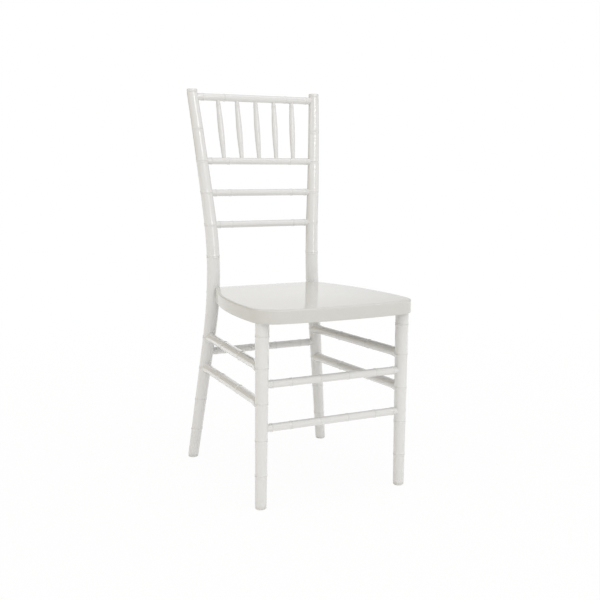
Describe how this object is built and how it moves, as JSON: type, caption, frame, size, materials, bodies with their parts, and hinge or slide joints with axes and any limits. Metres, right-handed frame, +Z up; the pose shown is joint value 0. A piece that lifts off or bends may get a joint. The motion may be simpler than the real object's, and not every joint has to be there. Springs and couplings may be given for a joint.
{
  "type": "chiavari chair",
  "caption": "Chiavari dining chair with bamboo-look turned poles, spindle back, paired stretchers and a moulded seat with a bowed front.",
  "frame": {"origin": "on the floor, under the middle of the chair's bounding box", "axes": "+Z up, -Y towards the front edge of the seat, +X to the right when seen from behind the chair's front, that is the sitter's left"},
  "size_m": [0.3926, 0.4927, 0.92],
  "materials": {
    "frame_resin": "glossy off-white moulded resin",
    "seat_resin": "glossy off-white moulded resin",
    "cap_resin": "glossy off-white moulded resin",
    "glide_plastic": "off-white nylon",
    "fastener_steel": "zinc-plated steel",
    "insert_brass": "machined brass"
  },
  "bodies": {
    "root": {"bolt_covers": "cap_resin", "bolt_inserts": "insert_brass", "cross_rail_lower": "frame_resin", "cross_rail_middle": "frame_resin", "cross_rail_upper": "frame_resin", "foot_glide_front_left": "glide_plastic", "foot_glide_front_right": "glide_plastic", "foot_glide_rear_left": "glide_plastic", "foot_glide_rear_right": "glide_plastic", "front_leg_left": "frame_resin", "front_leg_right": "frame_resin", "front_stretcher_lower": "frame_resin", "front_stretcher_upper": "frame_resin", "leg_screws": "fastener_steel", "post_cap_left": "cap_resin", "post_cap_right": "cap_resin", "rear_post_left": "frame_resin", "rear_post_right": "frame_resin", "rear_stretcher": "frame_resin", "seat_bolts": "fastener_steel", "seat_shell": "seat_resin", "side_stretcher_lower_left": "frame_resin", "side_stretcher_lower_right": "frame_resin", "side_stretcher_upper_left": "frame_resin", "side_stretcher_upper_right": "frame_resin", "spindle_centre": "frame_resin", "spindle_far_left": "frame_resin", "spindle_far_right": "frame_resin", "spindle_left": "frame_resin", "spindle_right": "frame_resin", "top_rail": "frame_resin"}
  },
  "joints": []
}
